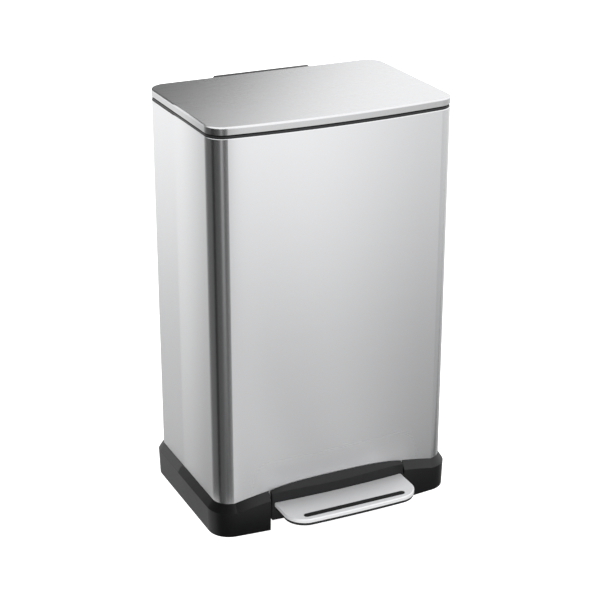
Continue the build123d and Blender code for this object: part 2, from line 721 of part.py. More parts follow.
def make_eye(x: float, rod_r: float, name: str) -> None:
    """Eye on a rod's upper end, slotted for the crank pin's small swing."""
    with BuildPart() as eye:
        with BuildSketch(PLAN.offset(EYE_BOTTOM)):
            with Locations((x, ROD_Y)):
                Circle(rod_r + 2)
        extrude(amount=ROD_IN_EYE + 2)
        with BuildSketch(side(x - EYE_T / 2)):
            with Locations(((EYE_FRONT + EYE_BACK) / 2, (EYE_BOTTOM + 10 + EYE_TOP) / 2)):
                RectangleRounded(EYE_BACK - EYE_FRONT, EYE_TOP - EYE_BOTTOM - 10, 3)
        extrude(amount=EYE_T)
        with BuildSketch(PLAN.offset(EYE_BOTTOM)):
            with Locations((x, ROD_Y)):
                Circle(rod_r)
        extrude(amount=ROD_IN_EYE, mode=Mode.SUBTRACT)
        swing = CRANK_R - CRANK_R * cos(radians(LID_OPEN / 2))
        with BuildSketch(side(x - EYE_T)):
            with Locations((CRANK_REST_Y - swing / 2, CRANK_REST_Z)):
                SlotCenterToCenter(swing + 1.6, 2 * CRANK_PIN_R + 1.2)
        extrude(amount=2 * EYE_T, mode=Mode.SUBTRACT)
    save(eye, name)


def make_rod_guides() -> None:
    """Two nylon guides on the body's back wall."""
    with BuildPart() as rod_guides:
        for height in GUIDE_HEIGHTS:
            with BuildSketch(PLAN.offset(height)):
                with Locations((0, (GUIDE_FRONT + BODY_D / 2 - SHEET) / 2)):
                    RectangleRounded(20, BODY_D / 2 - SHEET - GUIDE_FRONT, 2)
                with Locations((0, ROD_Y)):
                    Circle(ROD_R + 0.08, mode=Mode.SUBTRACT)
            extrude(amount=GUIDE_H)
    save(rod_guides, "rod_guides")


def make_damper_cylinder() -> None:
    """Closed air cylinder that slows the lid."""
    with BuildPart() as damper_cylinder:
        with BuildSketch(PLAN.offset(DAMPER_BOTTOM)):
            with Locations((DAMPER_X, ROD_Y)):
                Circle(DAMPER_R)
        extrude(amount=DAMPER_TOP - DAMPER_BOTTOM)
        chamfer(damper_cylinder.edges(), 1)
        with BuildSketch(PLAN.offset(DAMPER_BOTTOM + DAMPER_END)):
            with Locations((DAMPER_X, ROD_Y)):
                Circle(DAMPER_R - DAMPER_WALL)
        extrude(amount=DAMPER_TOP - DAMPER_BOTTOM - 2 * DAMPER_END, mode=Mode.SUBTRACT)
        with BuildSketch(PLAN.offset(DAMPER_TOP - 10)):
            with Locations((DAMPER_X, ROD_Y)):
                Circle(DAMPER_ROD_R + 0.08)
        extrude(amount=20, mode=Mode.SUBTRACT)
    save(damper_cylinder, "damper_cylinder")


def make_damper_rod() -> None:
    """Thin rod with the piston that runs in the cylinder."""
    with BuildPart() as damper_rod:
        with BuildSketch(PLAN.offset(PISTON_BOTTOM)):
            with Locations((DAMPER_X, ROD_Y)):
                Circle(DAMPER_R - DAMPER_WALL - 0.07)
        extrude(amount=8)
        with BuildSketch(PLAN.offset(PISTON_BOTTOM)):
            with Locations((DAMPER_X, ROD_Y)):
                Circle(DAMPER_ROD_R)
        extrude(amount=EYE_BOTTOM + ROD_IN_EYE - PISTON_BOTTOM)
    save(damper_rod, "damper_rod")


def make_damper_saddles() -> None:
    """Two saddles that clamp the cylinder to the back wall."""
    with BuildPart() as damper_saddles:
        for height in (DAMPER_BOTTOM + 12, DAMPER_TOP - 24):
            with BuildSketch(PLAN.offset(height)):
                with Locations((DAMPER_X, (ROD_Y - 11 + BODY_D / 2 - SHEET) / 2)):
                    RectangleRounded(22, BODY_D / 2 - SHEET - ROD_Y + 11, 4)
                with Locations((DAMPER_X, ROD_Y)):
                    Circle(DAMPER_R + 0.02, mode=Mode.SUBTRACT)
            extrude(amount=12)
    save(damper_saddles, "damper_saddles")


def make_channel_cover() -> None:
    """Channel that keeps waste away from the rod and the damper."""
    width = CHANNEL_RIGHT - CHANNEL_LEFT
    depth = BODY_D / 2 - SHEET - 0.2 - CHANNEL_FRONT
    middle_x = (CHANNEL_LEFT + CHANNEL_RIGHT) / 2
    middle_y = CHANNEL_FRONT + depth / 2
    with BuildPart() as channel_cover:
        with BuildSketch(PLAN.offset(FLOOR_TOP)):
            with Locations((middle_x, middle_y)):
                Rectangle(width, depth)
            with Locations((middle_x, middle_y + CHANNEL_WALL)):
                Rectangle(width - 2 * CHANNEL_WALL, depth, mode=Mode.SUBTRACT)
        extrude(amount=CHANNEL_TOP - FLOOR_TOP)
    save(channel_cover, "channel_cover")


# ---------------------------------------------------------------- pedal
def tread_plan(grow: float) -> Sketch:
    """The tread seen from above: square behind, large round corners in front."""
    half = TREAD_HALF + grow
    lip = TREAD_FRONT - grow
    shoulder = lip + TREAD_BOW
    with BuildSketch() as outline:
        with BuildLine():
            ThreePointArc((-half, shoulder), (0, lip), (half, shoulder))
            Polyline((half, shoulder), (half, TREAD_BACK), (-half, TREAD_BACK), (-half, shoulder))
        make_face()
        fillet(outline.vertices().group_by(Axis.Y)[0], TREAD_CORNER_R + grow)
    return outline.sketch


def ledge_height(depth: float, x: float, crest: float) -> float:
    """Height at a depth of the straight line from the riser's edge up to the crest."""
    edge_y = front_y(x, RISER_GROW)
    crest_y = front_y(x, RISER_GAP)
    return RISER_TOP + (crest - RISER_TOP) * (depth - edge_y) / (crest_y - edge_y)


def make_pedal_shell() -> None:
    """Black moulding: riser with a lens-shaped top, tread tray and the two pivot arms."""
    face = plan(RISER_GROW)
    back = plan(RISER_GAP)
    hollow = plan(RISER_GROW - RISER_WALL)
    tread = tread_plan(-PLATE_T)
    tread_hollow = tread_plan(-PLATE_T - RISER_WALL)
    arch_at_end = BASE_TOP + ARCH * (1 - (RISER_HALF / ARCH_HALF) ** 2)
    near, far = front_y(0, RISER_GROW) - 6, front_y(RISER_HALF, RISER_GAP) + 4

    # everything above the riser's sloping top
    with BuildPart() as above_ledge:
        for depth in (near, far):
            low = ledge_height(depth, RISER_HALF, arch_at_end)
            middle = ledge_height(depth, 0, BASE_TOP + ARCH)
            with BuildSketch(facing(depth)):
                add(arch_face(RISER_HALF, low, middle - low, 120))
        loft(ruled=True)

    with BuildPart() as pedal_shell:
        with BuildSketch(PLAN.offset(RISER_BOTTOM)):
            with Locations((0, -140)):
                Rectangle(2 * RISER_HALF, 60)
            add(face, mode=Mode.INTERSECT)
            add(back, mode=Mode.SUBTRACT)
        extrude(amount=70)
        add(above_ledge.part, mode=Mode.SUBTRACT)
        with BuildSketch(PLAN.offset(RISER_BOTTOM)):
            with Locations((0, -140)):
                Rectangle(2 * (RISER_HALF - RISER_WALL), 60)
            add(hollow, mode=Mode.INTERSECT)
        extrude(amount=RISER_TOP - 4 - RISER_BOTTOM, mode=Mode.SUBTRACT)

        # tray of the tread
        with BuildSketch(PLAN.offset(TRAY_BOTTOM)):
            add(tread)
            add(back, mode=Mode.SUBTRACT)
            add(hollow, mode=Mode.SUBTRACT)
        extrude(amount=TREAD_TOP - PLATE_T - TRAY_BOTTOM)
        with BuildSketch(PLAN.offset(TRAY_BOTTOM)):
            add(tread_hollow)
            add(face, mode=Mode.SUBTRACT)
        extrude(amount=TREAD_TOP - PLATE_T - RISER_WALL - TRAY_BOTTOM, mode=Mode.SUBTRACT)
        with BuildSketch(PLAN.offset(TREAD_TOP - PLATE_T - 1.5)):
            with Locations((0, SLOT_Y)):
                SlotOverall(2 * SLOT_HALF, SLOT_W)
        extrude(amount=5, mode=Mode.SUBTRACT)

        # arms to the pivot and the bridge that the lever is screwed to
        with BuildSketch(side(ARM_X)):
            with BuildLine():
                Polyline(
                    (ARM_FRONT, RISER_BOTTOM + 3), (ARM_FRONT, ARM_TOP), (PIVOT_Y - 22, ARM_TOP),
                    (PIVOT_Y, PIVOT_Z + ARM_HUB_R), (PIVOT_Y, PIVOT_Z - ARM_HUB_R), close=True,
                )
            make_face()
            with Locations((PIVOT_Y, PIVOT_Z)):
                Circle(ARM_HUB_R)
                Circle(PIVOT_R + RUNNING_FIT, mode=Mode.SUBTRACT)
        arm = extrude(amount=ARM_T)
        mirror(arm, about=Plane.YZ)
        with BuildSketch(PLAN.offset(LEVER_TOP)):
            with Locations((0, (ARM_FRONT - 104) / 2)):
                Rectangle(2 * ARM_X + 1, -104 - ARM_FRONT)
            with Locations(*PEDAL_SCREWS):
                Circle(PEDAL_SCREW_R + 0.02, mode=Mode.SUBTRACT)
        extrude(amount=4)
    save(pedal_shell, "pedal_shell")


def make_pedal_plate() -> None:
    """Steel plate over the tray, its edge turned down and rounded, slotted for the strip."""
    outside = tread_plan(0)
    inside = tread_plan(-PLATE_T + 0.05)
    riser = plan(RISER_GROW + 0.1)
    with BuildPart() as pedal_plate:
        with BuildSketch(PLAN.offset(TREAD_TOP - PLATE_LIP)):
            add(outside)
            add(riser, mode=Mode.SUBTRACT)
        extrude(amount=PLATE_LIP)
        top_edges = pedal_plate.faces().sort_by(Axis.Z)[-1].edges()
        fillet(top_edges.sort_by(Axis.Y)[0:5], PLATE_EDGE_R)
        with BuildSketch(PLAN.offset(TREAD_TOP - PLATE_LIP)):
            add(inside)
        extrude(amount=PLATE_LIP - PLATE_T, mode=Mode.SUBTRACT)
        with BuildSketch(PLAN.offset(TREAD_TOP - PLATE_LIP)):
            with Locations((0, SLOT_Y)):
                SlotOverall(2 * SLOT_HALF, SLOT_W)
        extrude(amount=10, mode=Mode.SUBTRACT)
    save(pedal_plate, "pedal_plate")


def make_pedal_insert() -> None:
    """Rubber strip in the tread's slot, a little proud of the plate."""
    with BuildPart() as pedal_insert:
        with BuildSketch(PLAN.offset(TREAD_TOP - PLATE_T - 1.5)):
            with Locations((0, SLOT_Y)):
                SlotOverall(2 * SLOT_HALF, SLOT_W)
        extrude(amount=PLATE_T + 1.5 + 0.4)
    save(pedal_insert, "pedal_insert")


def make_pedal_lever() -> None:
    """Steel bar under the floor with a knuckle on the pivot and a fork for the nose."""
    low = LEVER_TOP - LEVER_T
    with BuildPart() as pedal_lever:
        with BuildSketch(PLAN.offset(low)):
            with Locations((0, (LEVER_FRONT + LEVER_BACK) / 2)):
                Rectangle(2 * LEVER_HALF, LEVER_BACK - LEVER_FRONT)
            with Locations(*PEDAL_SCREWS):
                Circle(PEDAL_SCREW_R + 0.07, mode=Mode.SUBTRACT)
        extrude(amount=LEVER_T)
        with BuildSketch(side(-LEVER_HALF)):
            with Locations((PIVOT_Y, PIVOT_Z)):
                Circle(7)
        extrude(amount=2 * LEVER_HALF)
        with BuildSketch(side(-LEVER_HALF)):
            with Locations((PIVOT_Y, PIVOT_Z)):
                Circle(PIVOT_R + RUNNING_FIT)
        extrude(amount=2 * LEVER_HALF, mode=Mode.SUBTRACT)
        with BuildSketch(side(FORK_IN)):
            with BuildLine():
                Polyline(
                    (LEVER_BACK - 14, low), (LEVER_BACK - 14, LEVER_TOP), (LEVER_BACK, LEVER_TOP),
                    (ROD_Y + 4, PIVOT_Z + 3.5), (ROD_Y + 4, PIVOT_Z - 4),
                    (ROD_Y - 5, PIVOT_Z - 4), close=True,
                )
            make_face()
            with Locations((ROD_Y, PIVOT_Z)):
                Circle(TIP_PIN_R, mode=Mode.SUBTRACT)
        fork = extrude(amount=LEVER_HALF - FORK_IN)
        mirror(fork, about=Plane.YZ)
    save(pedal_lever, "pedal_lever")


def make_lever_tip() -> None:
    """Round nylon nose at the lever's end, which slides under the rod's foot."""
    with BuildPart() as lever_tip:
        with BuildSketch(side(-FORK_IN + 0.5)):
            with Locations((ROD_Y, PIVOT_Z)):
                Circle(TIP_R)
                Circle(TIP_PIN_R, mode=Mode.SUBTRACT)
        extrude(amount=2 * FORK_IN - 1)
    save(lever_tip, "lever_tip")


def make_tip_pin() -> None:
    """Pin that holds the nose in the lever's fork."""
    with BuildPart() as tip_pin:
        with BuildSketch(side(-LEVER_HALF - 1)):
            with Locations((ROD_Y, PIVOT_Z)):
                Circle(TIP_PIN_R)
        extrude(amount=2 * LEVER_HALF + 2)
    save(tip_pin, "tip_pin")


def make_pivot_pin() -> None:
    """Pin that the pedal turns on."""
    with BuildPart() as pivot_pin:
        with BuildSketch(side(-PIVOT_HALF)):
            with Locations((PIVOT_Y, PIVOT_Z)):
                Circle(PIVOT_R)
        extrude(amount=2 * PIVOT_HALF)
        chamfer(pivot_pin.edges(), 0.5)
    save(pivot_pin, "pivot_pin")


def make_pivot_clips() -> None:
    """Snap rings that keep the pivot pin in its ears."""
    with BuildPart() as pivot_clips:
        with BuildSketch(side(EAR_X + EAR_T / 2 + 0.1)):
            with Locations((PIVOT_Y, PIVOT_Z)):
                Circle(5.5)
                Circle(PIVOT_R, mode=Mode.SUBTRACT)
        clip = extrude(amount=1)
        mirror(clip, about=Plane.YZ)
    save(pivot_clips, "pivot_clips")


def make_pedal_screws() -> None:
    """Two screws from below through the lever into the bridge."""
    low = LEVER_TOP - LEVER_T
    with BuildPart() as pedal_screws:
        with BuildSketch(PLAN.offset(low - 2.4)):
            with Locations(*PEDAL_SCREWS):
                Circle(4)
        extrude(amount=2.4)
        with BuildSketch(PLAN.offset(low)):
            with Locations(*PEDAL_SCREWS):
                Circle(PEDAL_SCREW_R)
        extrude(amount=LEVER_T + 3.6)
    save(pedal_screws, "pedal_screws")


def make_stop_pads() -> None:
    """Rubber pads under the ledge that the pedal's arms meet at rest."""
    with BuildPart() as stop_pads:
        with BuildSketch(PLAN.offset(ARM_TOP + REST_GAP)):
            with Locations((-ARM_X - ARM_T / 2, STOP_Y), (ARM_X + ARM_T / 2, STOP_Y)):
                Rectangle(ARM_T, 3)
        extrude(amount=LEDGE_BOTTOM - ARM_TOP - REST_GAP)
    save(stop_pads, "stop_pads")


if __name__ == "__main__":
    make_body_shell()
    make_top_rim_frame()
    make_base_plinth()
    make_rubber_feet()
    make_inner_bucket()
    make_lid_cover()
    make_lid_liner()
    make_hinge_cover()
    make_lid_bracket()
    make_crank_pins()
    make_lid_screws()
    make_lid_bumpers()
    make_hinge_mount()
    make_hinge_pin()
    make_mount_rivets()
    make_rear_housing()
    make_housing_screws()
    make_push_rod()
    make_rod_foot()
    make_eye(0, ROD_R, "rod_eye")
    make_rod_guides()
    make_damper_cylinder()
    make_damper_rod()
    make_eye(DAMPER_X, DAMPER_ROD_R, "damper_eye")
    make_damper_saddles()
    make_channel_cover()
    make_pedal_shell()
    make_pedal_plate()
    make_pedal_insert()
    make_pedal_lever()
    make_lever_tip()
    make_tip_pin()
    make_pivot_pin()
    make_pivot_clips()
    make_pedal_screws()
    make_stop_pads()
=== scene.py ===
"""Studio scene of a pedal bin: satin steel body and lid, black plinth, steel pedal."""

import json
import logging
import math
from dataclasses import dataclass
from enum import Enum
from typing import Any, Iterable, Union

import bpy
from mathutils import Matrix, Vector

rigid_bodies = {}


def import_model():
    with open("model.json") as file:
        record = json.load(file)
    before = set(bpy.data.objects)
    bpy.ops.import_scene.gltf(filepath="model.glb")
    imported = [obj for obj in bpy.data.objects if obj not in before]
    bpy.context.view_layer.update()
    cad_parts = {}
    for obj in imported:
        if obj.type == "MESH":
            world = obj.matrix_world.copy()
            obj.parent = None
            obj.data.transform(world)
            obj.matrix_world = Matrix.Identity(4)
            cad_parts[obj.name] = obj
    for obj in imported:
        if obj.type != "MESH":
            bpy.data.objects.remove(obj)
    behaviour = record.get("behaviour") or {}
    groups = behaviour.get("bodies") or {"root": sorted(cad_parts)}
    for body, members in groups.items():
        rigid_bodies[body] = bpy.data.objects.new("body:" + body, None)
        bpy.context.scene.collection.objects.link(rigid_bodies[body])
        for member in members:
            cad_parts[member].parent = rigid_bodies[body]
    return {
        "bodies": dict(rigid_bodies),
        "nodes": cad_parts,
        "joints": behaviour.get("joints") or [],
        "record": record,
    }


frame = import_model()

LOG = logging.getLogger("pedal_bin")
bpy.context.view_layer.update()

Colour = tuple[float, float, float]
Stops = tuple[tuple[float, float], ...]
WHITE = (1.0, 1.0, 1.0, 1.0)
DEGREES_PER_RADIAN = 180.0 / math.pi


# ---------------------------------------------------------------- shader maths
class Value:
    """A socket of a shader, with the arithmetic that adds its Math nodes."""

    def __init__(self, graph: "Graph", socket: bpy.types.NodeSocket) -> None:
        """Wraps a socket.

        Args:
            graph: the graph that the socket belongs to.
            socket: the output socket.
        """
        self.graph = graph
        self.socket = socket

    def _maths(self, operation: str, first: Any, second: Any = 0.0) -> "Value":
        """Adds one Math node.

        Args:
            operation: name of the Math node's operation.
            first: first operand, a value or a number.
            second: second operand, a value or a number.

        Returns:
            The node's output.
        """
        return self.graph.node("ShaderNodeMath", {"operation": operation}, {0: first, 1: second})

    def __add__(self, other: Any) -> "Value":
        """Adds.

        Args:
            other: a value or a number.

        Returns:
            The sum.
        """
        return self._maths("ADD", self, other)

    __radd__ = __add__

    def __sub__(self, other: Any) -> "Value":
        """Subtracts.

        Args:
            other: a value or a number.

        Returns:
            The difference.
        """
        return self._maths("SUBTRACT", self, other)

    def __rsub__(self, other: Any) -> "Value":
        """Subtracts this value from another.

        Args:
            other: a value or a number.

        Returns:
            The difference.
        """
        return self._maths("SUBTRACT", other, self)

    def __mul__(self, other: Any) -> "Value":
        """Multiplies.

        Args:
            other: a value or a number.

        Returns:
            The product.
        """
        return self._maths("MULTIPLY", self, other)

    def __pow__(self, other: Any) -> "Value":
        """Raises to a power.

        Args:
            other: a value or a number.

        Returns:
            The power.
        """
        return self._maths("POWER", self, other)

    def absolute(self) -> "Value":
        """Drops the sign.

        Returns:
            The value, never below 0.
        """
        return self._maths("ABSOLUTE", self)

    def clamped(self) -> "Value":
        """Holds the value between 0 and 1.

        Returns:
            The held value.
        """
        return self.graph.node("ShaderNodeClamp", {}, {"Value": self})


class Graph:
    """The node tree of one material or of the world."""

    def __init__(self, tree: bpy.types.NodeTree) -> None:
        """Empties the tree.

        Args:
            tree: the node tree to build in.
        """
        self.tree = tree
        tree.nodes.clear()

    def node(
        self,
        kind: str,
        settings: dict[str, Any],
        inputs: dict[Union[int, str], Any],
        output: Union[int, str] = 0,
    ) -> Value:
        """Adds one node.

        Args:
            kind: the node's type.
            settings: attributes that are set first; "stops" are a colour ramp's stops.
            inputs: a value to link, or a constant, for each socket's name or number.
            output: the output socket that is wanted.

        Returns:
            That output.
        """
        made = self.tree.nodes.new(kind)
        for name, setting in settings.items():
            if name == "stops":
                self._set_stops(made, setting)
            else:
                setattr(made, name, setting)
        for key, given in inputs.items():
            socket = self._socket(made.inputs, key)
            if isinstance(given, Value):
                self.tree.links.new(given.socket, socket)
            else:
                socket.default_value = given
        return Value(self, self._socket(made.outputs, output))

    def close(self, surface: Value, kind: str = "ShaderNodeOutputMaterial") -> None:
        """Links the finished shader to the tree's output node.

        Args:
            surface: the shader.
            kind: type of the output node.
        """
        self.tree.links.new(surface.socket, self.tree.nodes.new(kind).inputs["Surface"])

    @staticmethod
    def _set_stops(ramp: bpy.types.Node, stops: list[tuple[float, Any]]) -> None:
        """Sets a colour ramp's stops.

        Args:
            ramp: the colour ramp node.
            stops: place and grey level, or place and colour, of each stop.
        """
        elements = ramp.color_ramp.elements
        while len(elements) < len(stops):
            elements.new(0.5)
        for element, (place, tone) in zip(elements, stops):
            element.position = place
            element.color = (tone, tone, tone, 1.0) if isinstance(tone, float) else (*tone, 1.0)

    @staticmethod
    def _socket(sockets: Any, key: Union[int, str]) -> bpy.types.NodeSocket:
        """Finds a socket by number, identifier or name.

        Args:
            sockets: the node's inputs or outputs.
            key: number, identifier or name.

        Returns:
            The socket.
        """
        if isinstance(key, int):
            return sockets[key]
        for socket in sockets:
            if socket.identifier == key:
                return socket
        return sockets[key]

    def place(self) -> Value:
        """Reads where on its object the shaded point is.

        Returns:
            The object's own coordinates in metres.
        """
        return self.node("ShaderNodeTexCoord", {}, {}, "Object")

    def axes(self, place: Value) -> tuple[Value, Value, Value]:
        """Splits coordinates.

        Args:
            place: the coordinates.

        Returns:
            X, Y and Z.
        """
        first = self.node("ShaderNodeSeparateXYZ", {}, {"Vector": place}, "X")
        outputs = first.socket.node.outputs
        return first, Value(self, outputs["Y"]), Value(self, outputs["Z"])

    def bearing(self, rise: Value, run: Value) -> Value:
        """Angle whose tangent is rise over run.

        Args:
            rise: the side opposite the angle.
            run: the side next to the angle.

        Returns:
            The angle in degrees, from -180 to 180.
        """
        turn = self.node("ShaderNodeMath", {"operation": "ARCTAN2"}, {0: rise, 1: run})
        return turn * DEGREES_PER_RADIAN

    def ramp(self, place: Value, stops: Stops, gain: float = 1.0) -> Value:
        """Grey levels that change with a value, straight from stop to stop.

        Args:
            place: the value.
            stops: value and level of each stop, rising. The first and last are the ramp's ends.
            gain: factor on every level.

        Returns:
            The level.
        """
        start, span = stops[0][0], stops[-1][0] - stops[0][0]
        settings = {"stops": [((value - start) / span, level * gain) for value, level in stops]}
        return self.node("ShaderNodeValToRGB", settings, {"Fac": (place - start) * (1.0 / span)})

    def product(self, first: Value, second: Value) -> Value:
        """Product of two colours.

        Args:
            first: one colour.
            second: the other colour.

        Returns:
            The product.
        """
        settings = {"data_type": "RGBA", "blend_type": "MULTIPLY"}
        inputs = {"Factor_Float": 1.0, "A_Color": first, "B_Color": second}
        return self.node("ShaderNodeMix", settings, inputs, "Result_Color")

    def emission(self, colour: Any, strength: Any) -> Value:
        """Light that a surface gives off.

        Args:
            colour: its colour with alpha, or a value.
            strength: its strength, or a value.

        Returns:
            The shader.
        """
        return self.node("ShaderNodeEmission", {}, {"Color": colour, "Strength": strength})

    def stretched(self, place: Value, scale: tuple[float, float, float]) -> Value:
        """Coordinates scaled unequally.

        Args:
            place: the coordinates.
            scale: factor along each axis.

        Returns:
            The scaled coordinates.
        """
        return self.node("ShaderNodeMapping", {}, {"Vector": place, "Scale": scale})

    def noise(self, place: Value, scale: float, detail: float = 2.0, roughness: float = 0.5) -> Value:
        """Noise between 0 and 1.

        Args:
            place: coordinates.
            scale: repeats for each metre.
            detail: octaves.
            roughness: strength of the finer octaves.

        Returns:
            The noise.
        """
        inputs = {"Vector": place, "Scale": scale, "Detail": detail, "Roughness": roughness}
        return self.node("ShaderNodeTexNoise", {}, inputs, "Fac")

    def blend(self, factor: Any, first: Any, second: Any) -> Value:
        """Mix of two colours.

        Args:
            factor: share of the second.
            first: colour with alpha, or a value.
            second: colour with alpha, or a value.

        Returns:
            The mixed colour.
        """
        inputs = {"Factor_Float": factor, "A_Color": first, "B_Color": second}
        return self.node("ShaderNodeMix", {"data_type": "RGBA"}, inputs, "Result_Color")

    def bump(self, height: Value, distance: float, strength: float = 1.0) -> Value:
        """Normal from a height.

        Args:
            height: height in units of distance.
            distance: metres for a height of 1.
            strength: share of the effect.

        Returns:
            The normal.
        """
        inputs = {"Height": height, "Distance": distance, "Strength": strength}
        return self.node("ShaderNodeBump", {}, inputs)


def opaque(colour: Colour) -> tuple[float, float, float, float]:
    """Gives a colour full alpha.

    Args:
        colour: red, green and blue.

    Returns:
        The colour with alpha.
    """
    return (*colour, 1.0)


def tinted(colour: Colour, tint: Colour) -> tuple[float, float, float, float]:
    """Tints a colour and gives it full alpha.

    Args:
        colour: red, green and blue.
        tint: factor on each of them.

    Returns:
        The colour with alpha.
    """
    return opaque(tuple(share * factor for share, factor in zip(colour, tint)))


def new_material(name: str) -> tuple[bpy.types.Material, Graph]:
    """Makes an empty material.

    Args:
        name: its name.

    Returns:
        The material and its graph.
    """
    material = bpy.data.materials.new(name)
    material.use_nodes = True
    return material, Graph(material.node_tree)


# ---------------------------------------------------------------- finishes
class Grain(Enum):
    """Direction that a brushed grain runs in."""

    ACROSS = (14.0, 14.0, 900.0)
    ALONG_WIDTH = (14.0, 900.0, 900.0)


@dataclass(frozen=True)
class SatinSteel:
    """Brushed stainless steel.

    The foot is a rougher patch low on the front. Below skirt_top the base colour is darkened by painted
    shade, which stands in for the dark reflection on the lid's lower edge. Heights and half widths are
    in metres, and the fades are per metre.
    """

    name: str
    tone: float
    roughness: float
    grain: Grain
    metallic: float = 1.0
    foot_roughness: float = 0.0
    foot_top: float = 0.145
    foot_half: float = 0.150
    foot_fade: float = 16.0
    foot_side_fade: float = 30.0
    # Painted shade: factor on the base colour below skirt_top, standing in for the dark reflection on
    # the lid's lower edge.
    skirt_shade_tone: float = 1.0
    skirt_top: float = 0.6605
    skirt_fade: float = 900.0
    light_tint: Colour = (1.02, 1.025, 1.04)
    dark_tint: Colour = (0.96, 0.965, 0.975)
    skirt_shade_tint: Colour = (1.0, 1.005, 1.015)
    smudge_scale: float = 9.0
    speckle_scale: float = 1400.0
    grain_share: float = 0.7
    speckle_share: float = 0.3
    roughness_drop: float = 0.045
    grain_roughness: float = 0.06
    smudge_roughness: float = 0.03
    speckle_relief: float = 0.3
    grain_depth: float = 4e-7

    def build(self) -> bpy.types.Material:
        """Makes the material.

        Returns:
            The material.
        """
        material, graph = new_material(self.name)
        place = graph.place()
        grain = graph.noise(graph.stretched(place, self.grain.value), 1.0, 3.0, 0.65)
        smudge = graph.noise(place, self.smudge_scale, 3.0, 0.6)
        speckle = graph.noise(place, self.speckle_scale, 1.0)
        grey = (self.tone,) * 3
        shine = grain * self.grain_share + speckle * self.speckle_share
        colour = graph.blend(shine, tinted(grey, self.dark_tint), tinted(grey, self.light_tint))
        across, _, height = graph.axes(place)
        # Painted shade: below skirt_top the colour is darkened towards a bluish grey, standing in for
        # the dark reflection on the lid's lower edge.
        if self.skirt_shade_tone < 1.0:
            skirt_shade_mask = ((self.skirt_top - height) * self.skirt_fade).clamped()
            shaded = (self.tone * self.skirt_shade_tone,) * 3
            colour = graph.blend(skirt_shade_mask, colour, tinted(shaded, self.skirt_shade_tint))
        roughness = self.roughness - self.roughness_drop
        roughness = roughness + grain * self.grain_roughness + smudge * self.smudge_roughness
        if self.foot_roughness > 0.0:
            drop = ((self.foot_top - height) * self.foot_fade).clamped()
            inward = ((self.foot_half - across.absolute()) * self.foot_side_fade).clamped()
            roughness = roughness + drop * drop * inward * self.foot_roughness
        inputs = {
            "Base Color": colour,
            "Metallic": self.metallic,
            "Roughness": roughness,
            "Normal": graph.bump(grain + speckle * self.speckle_relief, self.grain_depth),
        }
        shader = graph.node("ShaderNodeBsdfPrincipled", {}, inputs)
        graph.close(shader)
        return material


@dataclass(frozen=True)
class MouldedPlastic:
    """Moulded plastic with a spark-eroded texture."""

    name: str
    colour: Colour
    roughness: float = 0.42
    specular: float = 0.3
    grain_size: float = 0.0007
    grain_depth: float = 1.6e-5
    grain_strength: float = 0.7
    flow_scale: float = 22.0
    rub_stretch: tuple[float, float, float] = (60.0, 60.0, 240.0)
    low_share: float = 0.85
    high_share: float = 1.18
    high_lift: float = 0.001
    roughness_drop: float = 0.07
    pebble_roughness: float = 0.08
    flow_roughness: float = 0.05
    rub_roughness: float = 0.03

    def build(self) -> bpy.types.Material:
        """Makes the material.

        Returns:
            The material.
        """
        material, graph = new_material(self.name)
        place = graph.place()
        pebble = graph.noise(place, 1.0 / self.grain_size, 2.0, 0.55)
        flow = graph.noise(place, self.flow_scale, 3.0, 0.6)
        rub = graph.noise(graph.stretched(place, self.rub_stretch), 1.0, 4.0, 0.7)
        low = opaque(tuple(share * self.low_share for share in self.colour))
        lifted = (share * self.high_share + self.high_lift for share in self.colour)
        high = opaque(tuple(min(1.0, share) for share in lifted))
        roughness = self.roughness - self.roughness_drop + pebble * self.pebble_roughness
        roughness = roughness + flow * self.flow_roughness + rub * self.rub_roughness
        inputs = {
            "Base Color": graph.blend(pebble * 0.5 + flow * 0.5, low, high),
            "Roughness": roughness,
            "Specular IOR Level": self.specular,
            "Normal": graph.bump(pebble, self.grain_depth, self.grain_strength),
        }
        shader = graph.node("ShaderNodeBsdfPrincipled", {}, inputs)
        graph.close(shader)
        return material


@dataclass(frozen=True)
class DullRubber:
    """Matt black rubber with a dusty bloom."""

    name: str
    colour: Colour = (0.004, 0.004, 0.004)
    roughness: float = 0.72
    specular: float = 0.2
    dust_gain: float = 1.9
    fine_scale: float = 2600.0
    bloom_scale: float = 70.0
    roughness_drop: float = 0.08
    bloom_roughness: float = 0.12
    fine_roughness: float = 0.05
    grain_depth: float = 2e-5
    grain_strength: float = 0.6

    def build(self) -> bpy.types.Material:
        """Makes the material.

        Returns:
            The material.
        """
        material, graph = new_material(self.name)
        place = graph.place()
        fine = graph.noise(place, self.fine_scale, 2.0)
        bloom = graph.noise(place, self.bloom_scale, 4.0, 0.7)
        high = opaque(tuple(share * self.dust_gain for share in self.colour))
        roughness = self.roughness - self.roughness_drop
        inputs = {
            "Base Color": graph.blend(bloom * 0.7 + fine * 0.3, opaque(self.colour), high),
            "Roughness": roughness + bloom * self.bloom_roughness + fine * self.fine_roughness,
            "Specular IOR Level": self.specular,
            "Normal": graph.bump(fine, self.grain_depth, self.grain_strength),
        }
        shader = graph.node("ShaderNodeBsdfPrincipled", {}, inputs)
        graph.close(shader)
        return material


